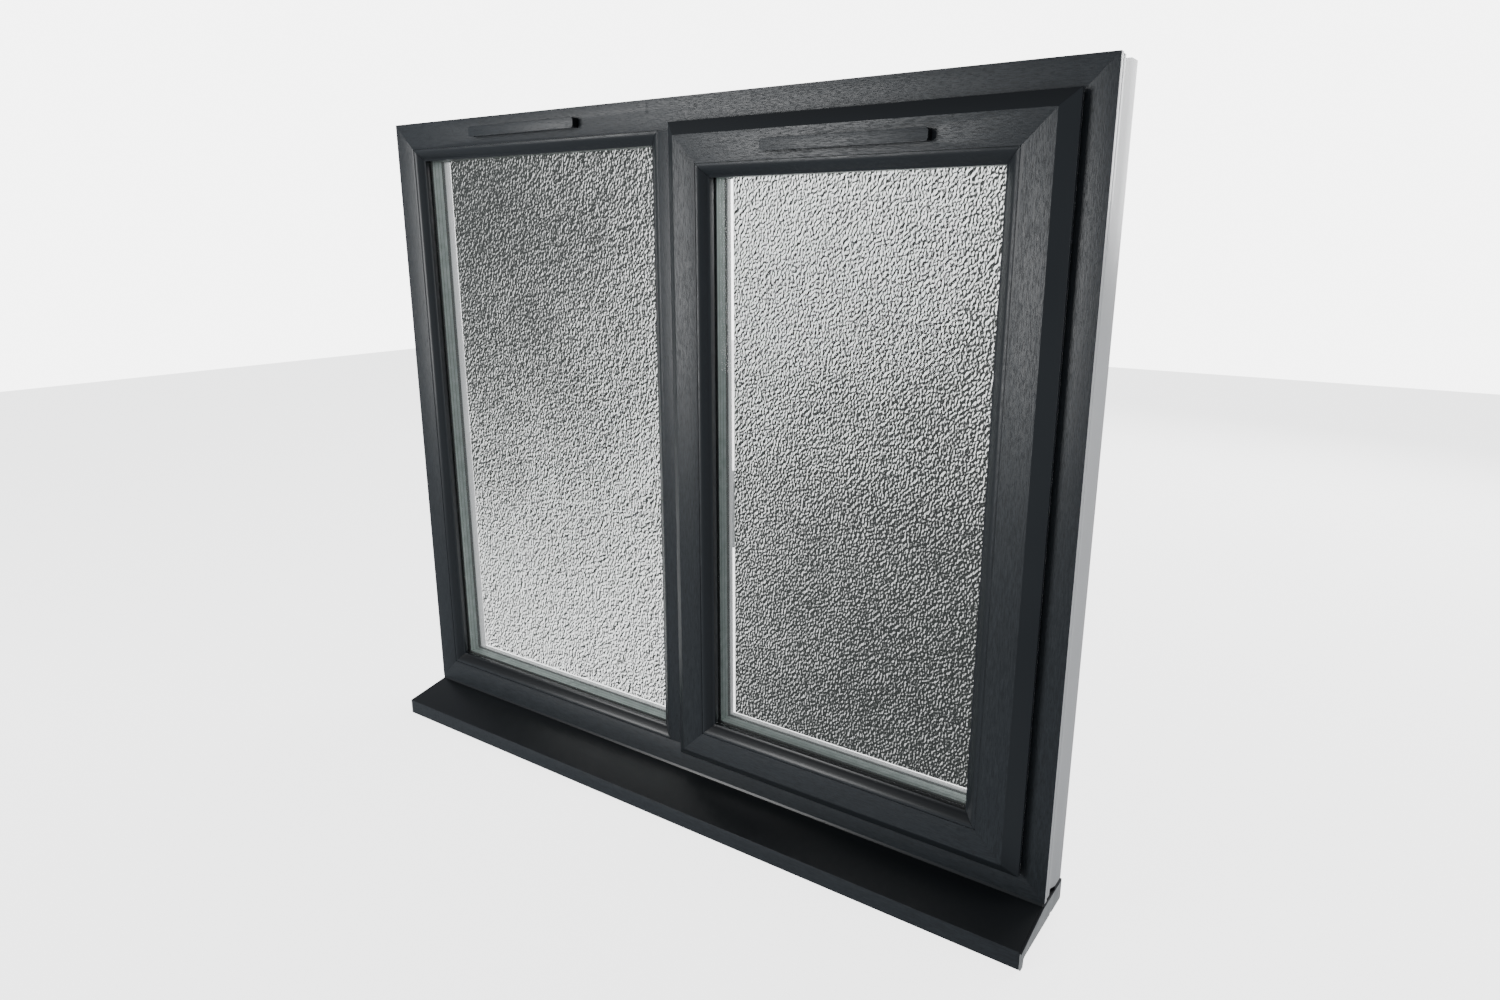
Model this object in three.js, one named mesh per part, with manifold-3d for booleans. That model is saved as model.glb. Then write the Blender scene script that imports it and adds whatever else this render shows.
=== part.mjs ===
// Two-light casement window: a fixed light on the left, a side-hung sash opening outwards on the right.
// Millimetres. +X to the right seen from outside, +Y into the room, +Z up.
// Origin: middle of the width, Y = 0 on the frame's exterior face, Z = 0 on the cill's bearing face.
import * as THREE from "three";
import { mergeVertices } from "three/addons/utils/BufferGeometryUtils.js";
import Module from "manifold-3d";

// ---- Driving dimensions -------------------------------------------------------------------------
const FIT_GAP = 0.3; // clearance between pieces that touch
const MITRE_GAP = 0.15; // half of the gap across a mitred corner

const FRAME_WIDTH = 1190;
const FRAME_HEIGHT = 1010;
const FRAME_DEPTH = 70;
const FRAME_FACE = 41.4; // exterior face, outer edge to the bead line
const FRAME_WALL = 3;
const REBATE_DEPTH = 48; // exterior face to the room-side upstand
const ROOM_SEAL = 4; // cavity for the seal between the sash and that upstand
const UPSTAND = 18; // height of the upstand over the rebate floor, and of each bead
const NOSE = 7; // straight nose of an upstand before its bevel
const BEVEL_RUN = 13.4; // run of that bevel towards the rebate floor
const SIDE_RECESS = 0.8; // recess of the frame's outer side behind its front lip
const SIDE_GROOVE = 3.2; // depth of the grooves along that side
const SIDE_ARRIS = { run: 2, depth: 3 }; // chamfer of that side's room-side edge
// Broad groove, rib, narrow groove and lip of that side: [inwards, into the room], from the back.
const SIDE_PROFILE = [
  [SIDE_RECESS, 44],
  [SIDE_GROOVE, 31],
  [SIDE_GROOVE, 22],
  [SIDE_RECESS, 21],
  [SIDE_RECESS, 13.5],
  [SIDE_GROOVE, 12.5],
  [SIDE_GROOVE, 10],
  [0, 9],
];

const MULLION_X = -2.35; // offset from the middle of the width
const MULLION_FACE = 36.5;

const CILL_DEPTH = 150;
const CILL_RISE = 34; // bearing face to the frame's underside
const CILL_PAST = 2; // the cill's back, past the frame's
const CILL_NOSE_TOP = 13.6;
const CILL_NOSE_DROP = 12.4;
const CILL_NOSE_THICKNESS = 8;
const CILL_WALL = 3;
const CILL_BED = 4.3; // the cill's flat top to the frame's underside
const CILL_RIB = 24; // width of the rear seat under the frame
const CILL_RIB_SETBACK = 4; // the frame's back to that seat
const CILL_KEY = { y: 30, width: 6, height: 2 }; // groove in the bearing face
const CILL_CAP = 2.4;

const SASH_LAP = 8.4; // the flange's lap over the frame's face
const SASH_GAP = 12.6; // cavity between the sash body and the rebate floor
const SASH_BEVEL = 19;
const SASH_FACE = 37; // flat between the bevel and the bead line
const SASH_DEPTH = 70;
const LAP_SEAL = 5; // cavity for the seal behind the flange
const FLANGE_EDGE = 6; // thickness of the flange at its edge
const SASH_UPSTAND = 20; // depth of the sash's room-side upstand
const GROOVE_WIDTH = 16; // hardware groove round the sash body
const GROOVE_DEPTH = 6;
const GROOVE_SETBACK = 24; // sash back to the groove's centre line

const PANE = 4;
const SPACER_DEPTH = 20;
const PACKER = 5; // glass edge to the rebate floor
const SPACER_INSET = 1;
const BEAD_DROP = 9.2; // fall of the bead's ovolo from the face to the glass
const BEAD_GASKET = 3;
const UPSTAND_GASKET = 2;
const GASKET_INSET = 8;
const SIGHT = 1; // spacers and gaskets stop this far inside the upstand

const STEEL = 2;
const STEEL_CLEAR = 1.5;
const STEEL_SETBACK = 75;
const STEEL_COVER = 14; // frame faces to the frame's reinforcement

const VENT_LENGTH = 228;
const VENT_HEIGHT = 15;
const VENT_SHIFT = 3.4; // vents stand this far right of the middle of their light
const FRAME_VENT_DROP = 1.7; // middle of the frame head's face to its vent
const SASH_VENT_CLEAR = 2.8; // frame head's upstand to the sash vent's grille
const FRAME_CANOPY_DEPTH = 12;
const SASH_CANOPY_DEPTH = 11;
const CANOPY_WALL = 2;
const CANOPY_CORNER = 4;
const AIR_SLOT_HEIGHT = 8;
const AIR_SLOT_LENGTH = 90;
const AIR_SLOT_BRIDGE = 14;
const GRILLE_DEPTH = 9;
const GRILLE_HEIGHT = 20;
const GRILLE_BARS = 10;
const GRILLE_WALL = 3;
const GRILLE_FRONT = 2;
const GRILLE_MARGIN = 10; // end of the grille to its first opening
const SHUTTER_DEPTH = 2.4;
const SHUTTER_LAP = 1.6; // cover of the shutter over its openings
const KNOB = { length: 3.2, height: 4, proud: 3 };

const STAY_PLATE = 2;
const STAY_SPACES = [0.5, 1, 1.4]; // spaces over the track, the short arm and the long arm
// Each arm: its pivot from the flange's hinge edge and from the upstand, its length and its angle shut.
const STAY_SHORT = { inset: 92, setback: 34, length: 60, angle: 12.3 };
const STAY_LONG = { inset: 379, setback: 10, length: 320, angle: 0.3 };
const STAY_HEAD = 0.5; // rivet head over an arm
const STAY_STUD = 3.5;
const STAY_CLEAR = 0.3;
const STAY_ARM_WIDTH = 16;
const STAY_BAR_LENGTH = 300;
const STAY_BAR_END = 14; // short arm's outer pivot to the bar's end
const TRACK_STRIP = 20; // width of the track's long strip

const ROSE_CLEAR = 2.6; // mullion's upstand to the handle's rose
const HANDLE_DROP = 37; // spindle below the middle of the sash
const SPINDLE = 7;
const SPINDLE_BORE = 6; // radius of the hole through the stile and the rose
const ESPAG_SETBACK = 4; // lower corner of the sash body to the faceplate
const ESPAG_PLATE = 2;
const ROD_SHORTER = 20; // the rod stops short of each end of its faceplate
const ROD_THICKNESS = 2.2;
const ROD_WIDTH = 10;
const GEAR_RADIUS = 7.5; // pitch radius of the spindle's pinion
const GEAR_TEETH = 8;
const GEAR_WIDTH = 8;
const TOOTH = 1.2; // addendum, and dedendum less its clearance
const TOOTH_CLEAR = 0.35;
const GEARBOX = { half: 7.3, height: 50, wall: 0.7, clear: 0.4 };
const CAM_SETBACK = 80; // end of the faceplate to its cam
const CAM_RADIUS = 6;
const CAM_STUD = 3.5;
const CAM_HEAD = 3;
const CAM_CLEAR = 2.3; // cam head over the keep's plate
const KEEP = { plate: 2, wall: 3, height: 68, clear: 3.3, play: 0.8 };
const CAM_THROW = (GEAR_RADIUS * Math.PI) / 2;

const LEVER_DROP = 106;
const LEVER_WIDTH = 20;
const LEVER_DEPTH = 14;
const LEVER_TOP = 14; // spindle to the lever's upper end
const LEVER_CORNER = 8;
const NECK_RADIUS = 9;
const LEVER_STANDOFF = 28; // stile face to the back of the grip
const ROSE = { width: 28, height: 66, depth: 12, above: 27, corner: 9 };
const BUTTON_RADIUS = 5;
const BUTTON_STROKE = 2.5;
const BUTTON_PROUD = 3;
const BUTTON_POCKET = 9;
const BUTTON_CLEAR = 0.4;

// ---- Boxes derived from them --------------------------------------------------------------------
const inset = (b, d) => ({ x0: b.x0 + d, x1: b.x1 - d, z0: b.z0 + d, z1: b.z1 - d });
const FRAME = {
  x0: -FRAME_WIDTH / 2,
  x1: FRAME_WIDTH / 2,
  z0: CILL_RISE,
  z1: CILL_RISE + FRAME_HEIGHT,
};
const OPENING = inset(FRAME, FRAME_FACE);
const FIXED = { ...OPENING, x1: MULLION_X - MULLION_FACE / 2 };
const VENT_LIGHT = { ...OPENING, x0: MULLION_X + MULLION_FACE / 2 };
const SASH = inset(VENT_LIGHT, -SASH_LAP);
const CILL_BACK = FRAME_DEPTH + CILL_PAST;
const SASH_BACK = REBATE_DEPTH - ROOM_SEAL;
const SASH_FRONT = SASH_BACK - SASH_DEPTH;
const FLANGE_BACK = -LAP_SEAL;
const SASH_EDGE_FRONT = FLANGE_BACK - FLANGE_EDGE;
const SASH_UPSTAND_FRONT = SASH_BACK - SASH_UPSTAND;
const GROOVE_Y = SASH_BACK - GROOVE_SETBACK;
const GLASS_UNIT = 2 * PANE + SPACER_DEPTH;
const GASKET_WIDTH = UPSTAND - GASKET_INSET - SIGHT;
const SPACER_WIDTH = UPSTAND - PACKER - SPACER_INSET - SIGHT;
const BODY_INSET = SASH_LAP + SASH_GAP; // flange edge to body edge
const BEAD_LINE = SASH_BEVEL + SASH_FACE;
const SASH_GLAZING = inset(SASH, BEAD_LINE);
const HANDLE_X = VENT_LIGHT.x0 + UPSTAND + ROSE_CLEAR + ROSE.width / 2;
const HANDLE_Z = (SASH.z0 + SASH.z1) / 2 - HANDLE_DROP;
const GROOVE_FLOOR = BODY_INSET + GROOVE_DEPTH;
const BACKSET = HANDLE_X - SASH.x0 - BODY_INSET; // sash body edge to the spindle
const GEARBOX_REACH = BACKSET + GEAR_RADIUS + TOOTH + GEARBOX.clear + GEARBOX.wall;
const ESPAG_HALF = HANDLE_Z - SASH.z0 - BODY_INSET - ESPAG_SETBACK;
const FRAME_VENT = {
  x: (FIXED.x0 + FIXED.x1) / 2 + VENT_SHIFT,
  z: FRAME.z1 - FRAME_FACE / 2 - FRAME_VENT_DROP,
};
const SASH_VENT = {
  x: (SASH.x0 + SASH.x1) / 2 + VENT_SHIFT,
  z: VENT_LIGHT.z1 - UPSTAND - SASH_VENT_CLEAR - GRILLE_HEIGHT / 2,
};

// ---- Materials ----------------------------------------------------------------------------------
const finish = (color, roughness, metalness = 0, extra = {}) =>
  new THREE.MeshStandardMaterial({ color, roughness, metalness, ...extra });
const FOIL = finish(0x3b4045, 0.5);
const WHITE_PVC = finish(0xe9ebea, 0.35);
const CAP_GREY = finish(0xb9bcba, 0.5);
const RUBBER = finish(0x17181a, 0.8);
const STEEL_GALV = finish(0x9aa0a3, 0.45, 0.9);
const STAINLESS = finish(0xb8bbbd, 0.3, 1);
const ZINC = finish(0xc9cbc8, 0.35, 0.9);
const SPACER = finish(0x8f9a94, 0.5, 0.3);
const GLASS = finish(0xdfe8e4, 0.05, 0, { transparent: true, opacity: 0.35 });
const PATTERNED = finish(0xd5dcda, 0.3, 0, { transparent: true, opacity: 0.6 });

// ---- Geometry helpers ---------------------------------------------------------------------------
const wasm = await Module();
wasm.setup();

const polygon = (points) => new THREE.Shape(points.map(([a, b]) => new THREE.Vector2(a, b)));
const rectangle = (a0, b0, a1, b1) => [
  [a0, b0],
  [a1, b0],
  [a1, b1],
  [a0, b1],
];

function roundedRectangle(a0, b0, a1, b1, radius) {
  const shape = new THREE.Shape();
  shape.moveTo(a0 + radius, b0);
  shape.lineTo(a1 - radius, b0);
  shape.absarc(a1 - radius, b0 + radius, radius, -Math.PI / 2, 0);
  shape.lineTo(a1, b1 - radius);
  shape.absarc(a1 - radius, b1 - radius, radius, 0, Math.PI / 2);
  shape.lineTo(a0 + radius, b1);
  shape.absarc(a0 + radius, b1 - radius, radius, Math.PI / 2, Math.PI);
  shape.lineTo(a0, b0 + radius);
  shape.absarc(a0 + radius, b0 + radius, radius, Math.PI, 1.5 * Math.PI);
  return shape;
}

// Extrudes a shape along local +Z.
function prism(shape, length, holes = [], curveSegments = 4) {
  for (const hole of holes) shape.holes.push(new THREE.Path(hole.getPoints(curveSegments)));
  return new THREE.ExtrudeGeometry(shape, { depth: length, bevelEnabled: false, curveSegments });
}

function solidOf(geometry) {
  const bare = geometry.clone();
  bare.deleteAttribute("normal");
  bare.deleteAttribute("uv");
  const merged = mergeVertices(bare, 1e-3);
  const vertProperties = new Float32Array(merged.attributes.position.array);
  const triVerts = new Uint32Array(merged.index.array);
  return new wasm.Manifold(new wasm.Mesh({ numProp: 3, vertProperties, triVerts }));
}

function geometryOf(solid) {
  const mesh = solid.getMesh();
  const geometry = new THREE.BufferGeometry();
  geometry.setAttribute("position", new THREE.BufferAttribute(mesh.vertProperties, 3));
  geometry.setIndex(new THREE.BufferAttribute(mesh.triVerts, 1));
  const flat = geometry.toNonIndexed();
  flat.computeVertexNormals();
  return flat;
}

const cut = (geometry, ...tools) =>
  geometryOf(tools.reduce((solid, tool) => solid.subtract(solidOf(tool)), solidOf(geometry)));
const join = (first, ...rest) =>
  geometryOf(rest.reduce((solid, piece) => solid.add(solidOf(piece)), solidOf(first)));

function block(x0, x1, y0, y1, z0, z1) {
  const box = new THREE.BoxGeometry(x1 - x0, y1 - y0, z1 - z0);
  return box.translate((x0 + x1) / 2, (y0 + y1) / 2, (z0 + z1) / 2);
}

// A cylinder from one end to the other along a named axis; its other two coordinates are given.
function rod(axis, radius, from, to, centre, sides = 24) {
  const cylinder = new THREE.CylinderGeometry(radius, radius, to - from, sides);
  const middle = (from + to) / 2;
  if (axis === "x") return cylinder.rotateZ(Math.PI / 2).translate(middle, centre[0], centre[1]);
  if (axis === "y") return cylinder.translate(centre[0], middle, centre[1]);
  return cylinder.rotateX(Math.PI / 2).translate(centre[0], centre[1], middle);
}

function mesh(name, geometry, material) {
  const piece = new THREE.Mesh(geometry, material);
  piece.name = name;
  return piece;
}

// A plate whose outline lies in XZ and whose faces are at Y = y0 and y1.
function plate(name, shape, y0, y1, material, holes = []) {
  const piece = mesh(name, prism(shape, y1 - y0, holes), material);
  piece.rotation.x = Math.PI / 2;
  piece.position.y = y1;
  return piece;
}

const boxShape = (b) => polygon(rectangle(b.x0, b.z0, b.x1, b.z1));

// A rectangular ring, such as a gasket, in the plane of the window.
function ring(name, outer, width, y0, y1, material) {
  return plate(name, boxShape(outer), y0, y1, material, [boxShape(inset(outer, width))]);
}

// The four sides of a rectangular frame. Local x runs inwards, y into the room and z along the side.
const SIDES = {
  left: { turn: 0, length: (b) => b.z1 - b.z0, start: (b) => [b.x0, b.z0] },
  top: { turn: Math.PI / 2, length: (b) => b.x1 - b.x0, start: (b) => [b.x0, b.z1] },
  right: { turn: Math.PI, length: (b) => b.z1 - b.z0, start: (b) => [b.x1, b.z1] },
  bottom: { turn: -Math.PI / 2, length: (b) => b.x1 - b.x0, start: (b) => [b.x1, b.z0] },
};

// Extrudes a section and cuts both ends at 45 degrees.
function mitredBar(shape, length, holes = []) {
  const geometry = prism(shape, length, holes, 5);
  const position = geometry.attributes.position;
  const back = MITRE_GAP * Math.SQRT2;
  for (let i = 0; i < position.count; i += 1) {
    const inwards = position.getX(i) + back;
    const z = position.getZ(i);
    position.setZ(i, z < length / 2 ? z + inwards : z - inwards);
  }
  geometry.computeVertexNormals();
  return geometry;
}

function place(piece, side, box) {
  const [x, z] = SIDES[side].start(box);
  piece.position.set(x, 0, z);
  piece.rotation.y = SIDES[side].turn;
  return piece;
}

const side = (name, which, box, geometry, material) =>
  place(mesh(name, geometry, material), which, box);

// ---- Sections: [inwards, into the room] ---------------------------------------------------------
function frameSection() {
  const upstandTop = FRAME_FACE + UPSTAND;
  return polygon([
    [0, 0],
    [FRAME_FACE, 0],
    [FRAME_FACE, REBATE_DEPTH],
    [upstandTop, REBATE_DEPTH],
    [upstandTop, REBATE_DEPTH + NOSE],
    [upstandTop - BEVEL_RUN, FRAME_DEPTH],
    [SIDE_RECESS + SIDE_ARRIS.run, FRAME_DEPTH],
    [SIDE_RECESS, FRAME_DEPTH - SIDE_ARRIS.depth],
    ...SIDE_PROFILE,
  ]);
}

const frameChamber = () =>
  polygon(
    rectangle(
      SIDE_GROOVE + FRAME_WALL,
      FRAME_WALL,
      FRAME_FACE - FRAME_WALL,
      FRAME_DEPTH - FRAME_WALL,
    ),
  );

function mullionSection() {
  const half = MULLION_FACE / 2;
  const wing = half + UPSTAND;
  const right = [
    [half, 0],
    [half, REBATE_DEPTH],
    [wing, REBATE_DEPTH],
    [wing, REBATE_DEPTH + NOSE],
    [wing - BEVEL_RUN, FRAME_DEPTH],
  ];
  const left = right.map(([a, b]) => [-a, b]).reverse();
  return polygon([...right, ...left]);
}

// Outline that clears the frame section by the fitting gap: [inwards, into the room].
function frameClearance() {
  const floor = FRAME_FACE + FIT_GAP;
  const top = floor + UPSTAND;
  const past = 10;
  return polygon([
    [-past, -past],
    [floor, -past],
    [floor, REBATE_DEPTH - FIT_GAP],
    [top, REBATE_DEPTH - FIT_GAP],
    [top, REBATE_DEPTH + NOSE + MITRE_GAP],
    [top - BEVEL_RUN, FRAME_DEPTH + MITRE_GAP],
    [top - BEVEL_RUN, FRAME_DEPTH + past],
    [-past, FRAME_DEPTH + past],
  ]);
}

function sashSection() {
  const body = BODY_INSET;
  const top = BEAD_LINE + UPSTAND;
  const groove0 = GROOVE_Y - GROOVE_WIDTH / 2;
  const groove1 = GROOVE_Y + GROOVE_WIDTH / 2;
  return polygon([
    [0, SASH_EDGE_FRONT],
    [SASH_BEVEL, SASH_FRONT],
    [BEAD_LINE, SASH_FRONT],
    [BEAD_LINE, SASH_UPSTAND_FRONT],
    [top, SASH_UPSTAND_FRONT],
    [top, SASH_UPSTAND_FRONT + NOSE],
    [top - BEVEL_RUN, SASH_BACK],
    [body, SASH_BACK],
    [body, groove1],
    [GROOVE_FLOOR, groove1],
    [GROOVE_FLOOR, groove0],
    [body, groove0],
    [body, FLANGE_BACK],
    [0, FLANGE_BACK],
  ]);
}

const SASH_CHAMBER = {
  s0: GROOVE_FLOOR + FRAME_WALL,
  s1: BEAD_LINE - FRAME_WALL,
  y0: SASH_FRONT + FRAME_WALL,
  y1: SASH_BACK - FRAME_WALL,
};
const sashChamber = () =>
  polygon(rectangle(SASH_CHAMBER.s0, SASH_CHAMBER.y0, SASH_CHAMBER.s1, SASH_CHAMBER.y1));

// Ovolo glazing bead between a face at y0 and the gasket in front of the glass at y1.
function beadSection(y0, y1) {
  const drop = Math.min(BEAD_DROP, 0.65 * (y1 - y0));
  // Points of the ovolo as shares of the bead's height and of its drop.
  const at = (across, down) => [across * UPSTAND, y0 + down * drop];
  const shape = new THREE.Shape();
  shape.moveTo(FIT_GAP, y0 + 0.065 * drop);
  shape.quadraticCurveTo(...at(0.22, -0.045), ...at(0.415, 0.195));
  shape.quadraticCurveTo(...at(0.72, 0.6), ...at(0.805, 0.78));
  shape.quadraticCurveTo(...at(0.89, 0.935), ...at(1, 1));
  shape.lineTo(UPSTAND, y1);
  shape.lineTo(FIT_GAP, y1);
  return shape;
}

// ---- Outer frame --------------------------------------------------------------------------------
function airSlots(u, y0, y1, centre) {
  const half = AIR_SLOT_HEIGHT / 2;
  const near = AIR_SLOT_BRIDGE / 2;
  const far = near + AIR_SLOT_LENGTH;
  return [
    block(u - half, u + half, y0, y1, centre - far, centre - near),
    block(u - half, u + half, y0, y1, centre + near, centre + far),
  ];
}

function outerFrame() {
  const bar = (which) => mitredBar(frameSection(), SIDES[which].length(FRAME), [frameChamber()]);
  const slots = airSlots(FRAME.z1 - FRAME_VENT.z, -1, FRAME_DEPTH + 1, FRAME_VENT.x - FRAME.x0);
  return [
    side("frame_head", "top", FRAME, cut(bar("top"), ...slots), FOIL),
    side("frame_bottom", "bottom", FRAME, bar("bottom"), FOIL),
    side("frame_jamb_left", "left", FRAME, bar("left"), FOIL),
    side("frame_jamb_right", "right", FRAME, bar("right"), FOIL),
  ];
}

function mullion() {
  const height = FRAME.z1 - FRAME.z0;
  const half = MULLION_FACE / 2 - FRAME_WALL;
  const chamber = polygon(rectangle(-half, FRAME_WALL, half, FRAME_DEPTH - FRAME_WALL));
  const width = MULLION_FACE + 4 * UPSTAND;
  // The frame's contour laid across the mullion's foot, and turned over for its head.
  const foot = prism(frameClearance(), width);
  foot.applyMatrix4(
    new THREE.Matrix4().makeBasis(
      new THREE.Vector3(0, 0, 1),
      new THREE.Vector3(0, 1, 0),
      new THREE.Vector3(-1, 0, 0),
    ),
  );
  foot.translate(width / 2, 0, 0);
  const head = foot.clone().rotateY(Math.PI).translate(0, 0, height);
  const piece = mesh("mullion", cut(prism(mullionSection(), height, [chamber]), foot, head), FOIL);
  piece.position.set(MULLION_X, 0, FRAME.z0);
  return piece;
}

// A galvanised box section: [a0, a1] across, [y0, y1] deep, standing from z0 to z1.
function steelBox(name, a0, a1, y0, y1, z0, z1) {
  const outer = polygon(rectangle(a0, y0, a1, y1));
  const hollow = polygon(rectangle(a0 + STEEL, y0 + STEEL, a1 - STEEL, y1 - STEEL));
  const piece = mesh(name, prism(outer, z1 - z0, [hollow]), STEEL_GALV);
  piece.position.z = z0;
  return piece;
}

function frameSteel() {
  const near = SIDE_GROOVE + FRAME_WALL + STEEL_CLEAR;
  const far = FRAME_FACE - FRAME_WALL - STEEL_CLEAR;
  const y0 = STEEL_COVER;
  const y1 = FRAME_DEPTH - STEEL_COVER;
  const z0 = FRAME.z0 + STEEL_SETBACK;
  const z1 = FRAME.z1 - STEEL_SETBACK;
  const half = MULLION_FACE / 2 - FRAME_WALL - STEEL_CLEAR;
  return [
    steelBox("reinforcement_jamb_left", FRAME.x0 + near, FRAME.x0 + far, y0, y1, z0, z1),
    steelBox("reinforcement_jamb_right", FRAME.x1 - far, FRAME.x1 - near, y0, y1, z0, z1),
    steelBox("reinforcement_mullion", MULLION_X - half, MULLION_X + half, y0, y1, z0, z1),
  ];
}

// Cill section in [Y, Z]: sloping top, drip nose, a front and a rear seat for the frame.
function cill() {
  const front = CILL_BACK - CILL_DEPTH;
  const flat = CILL_RISE - CILL_BED;
  const slope = (flat - CILL_NOSE_TOP) / -front;
  const topAt = (y) => Math.min(CILL_NOSE_TOP + slope * (y - front), flat);
  const noseBack = front + CILL_NOSE_THICKNESS;
  const seat = CILL_RISE - FIT_GAP;
  const ribTop = seat + SIDE_RECESS;
  const ribBack = FRAME_DEPTH - CILL_RIB_SETBACK;
  const ribFront = ribBack - CILL_RIB;
  const key = { y0: CILL_KEY.y, y1: CILL_KEY.y + CILL_KEY.width };
  const section = polygon([
    [front, CILL_NOSE_TOP],
    [front, -CILL_NOSE_DROP],
    [noseBack, -CILL_NOSE_DROP],
    [noseBack + 1.5, -2],
    [noseBack + 6, 0],
    [key.y0, 0],
    [key.y0, CILL_KEY.height],
    [key.y1, CILL_KEY.height],
    [key.y1, 0],
    [CILL_BACK, 0],
    [CILL_BACK, flat],
    [ribBack, flat],
    [ribBack, ribTop],
    [ribFront, ribTop],
    [ribFront, flat],
    [8.6, flat],
    [8.4, seat],
    [1.6, seat],
    [0, flat],
  ]);
  const length = FRAME_WIDTH - 2 * (CILL_CAP + FIT_GAP);
  const chamber = (y0, y1) => {
    const outline = polygon([
      [y0, CILL_WALL],
      [y1, CILL_WALL],
      [y1, topAt(y1) - CILL_WALL],
      [y0, topAt(y0) - CILL_WALL],
    ]);
    return prism(outline, length + 2).translate(0, 0, -1);
  };
  const web = front / 3;
  const chambers = [
    chamber(noseBack + 4, web),
    chamber(web + CILL_WALL, key.y0 - 4),
    chamber(key.y1 + CILL_WALL, CILL_BACK - CILL_WALL),
  ];
  // Local x is Y, local y is Z, so the extrusion runs along +X.
  const lay = (name, geometry, material, x) => {
    const piece = mesh(name, geometry, material);
    piece.rotation.set(Math.PI / 2, 0, Math.PI / 2, "ZXY");
    piece.position.x = x;
    return piece;
  };
  const cap = (name, x) => lay(name, prism(section, CILL_CAP), CAP_GREY, x);
  return [
    lay("cill", cut(prism(section, length), ...chambers), FOIL, -length / 2),
    cap("cill_end_cap_left", FRAME.x0),
    cap("cill_end_cap_right", FRAME.x1 - CILL_CAP),
  ];
}

// ---- Glazing ------------------------------------------------------------------------------------
// A light's beads, gaskets and sealed unit, between its face and its room-side upstand.
function glazing(prefix, box, faceY, upstandY) {
  const glass = inset(box, PACKER);
  const glassBack = upstandY - UPSTAND_GASKET;
  const glassY = glassBack - GLASS_UNIT;
  const innerY = glassBack - PANE;
  const beadBack = glassY - BEAD_GASKET;
  const named = (part) => prefix + "_" + part;
  const bead = (which) => {
    const bar = mitredBar(beadSection(faceY, beadBack), SIDES[which].length(box));
    return side(named("bead_" + which), which, box, bar, FOIL);
  };
  const gasket = (part, y0, y1) =>
    ring(named(part), inset(box, GASKET_INSET), GASKET_WIDTH, y0 + FIT_GAP, y1 - FIT_GAP, RUBBER);
  const pane = (part, y, material) => plate(named(part), boxShape(glass), y, y + PANE, material);
  const bar = inset(glass, SPACER_INSET);
  const barY = glassY + PANE + FIT_GAP;
  return [
    ...Object.keys(SIDES).map(bead),
    gasket("outer_gasket", beadBack, glassY),
    pane("outer_pane", glassY, GLASS),
    ring(named("spacer_bar"), bar, SPACER_WIDTH, barY, innerY - FIT_GAP, SPACER),
    pane("patterned_pane", innerY, PATTERNED),
    gasket("inner_gasket", glassBack, upstandY),
  ];
}

// ---- Sash ---------------------------------------------------------------------------------------
function sashMembers() {
  const bar = (which) => mitredBar(sashSection(), SIDES[which].length(SASH), [sashChamber()]);
  const slots = airSlots(SASH.z1 - SASH_VENT.z, SASH_FRONT - 1, SASH_BACK + 1, SASH_VENT.x - SASH.x0);
  const at = HANDLE_Z - SASH.z0;
  const reach = BODY_INSET + GEARBOX_REACH + GEARBOX.clear;
  const deep = GEARBOX.half + GEARBOX.clear;
  const high = GEARBOX.height / 2 + 2;
  const pocket = block(BODY_INSET - 1, reach, GROOVE_Y - deep, GROOVE_Y + deep, at - high, at + high);
  const spindleHole = rod("y", SPINDLE_BORE, GROOVE_Y, SASH_BACK + 1, [BODY_INSET + BACKSET, at]);
  return [
    side("sash_top_rail", "top", SASH, cut(bar("top"), ...slots), FOIL),
    side("sash_bottom_rail", "bottom", SASH, bar("bottom"), FOIL),
    side("sash_lock_stile", "left", SASH, cut(bar("left"), pocket, spindleHole), FOIL),
    side("sash_hinge_stile", "right", SASH, bar("right"), FOIL),
  ];
}

function sashSteel() {
  const near = SASH_CHAMBER.s0 + 1;
  const far = SASH_CHAMBER.s1 - 1;
  const y0 = SASH_CHAMBER.y0 + STEEL_CLEAR;
  const y1 = GROOVE_Y - GEARBOX.half - STEEL_CLEAR;
  const z0 = SASH.z0 + STEEL_SETBACK;
  const z1 = SASH.z1 - STEEL_SETBACK;
  return [
    steelBox("reinforcement_lock_stile", SASH.x0 + near, SASH.x0 + far, y0, y1, z0, z1),
    steelBox("reinforcement_hinge_stile", SASH.x1 - far, SASH.x1 - near, y0, y1, z0, z1),
  ];
}

function weatherSeals() {
  const lapSeal = inset(VENT_LIGHT, -6);
  const roomSeal = inset(VENT_LIGHT, UPSTAND - 4.5);
  const squeezed = (name, outer, width, y0, y1) =>
    ring(name, outer, width, y0 + FIT_GAP, y1 - FIT_GAP, RUBBER);
  return {
    onSash: squeezed("sash_lap_seal", lapSeal, 4, FLANGE_BACK, 0),
    onFrame: squeezed("frame_room_seal", roomSeal, 3.5, SASH_BACK, REBATE_DEPTH),
  };
}

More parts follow.
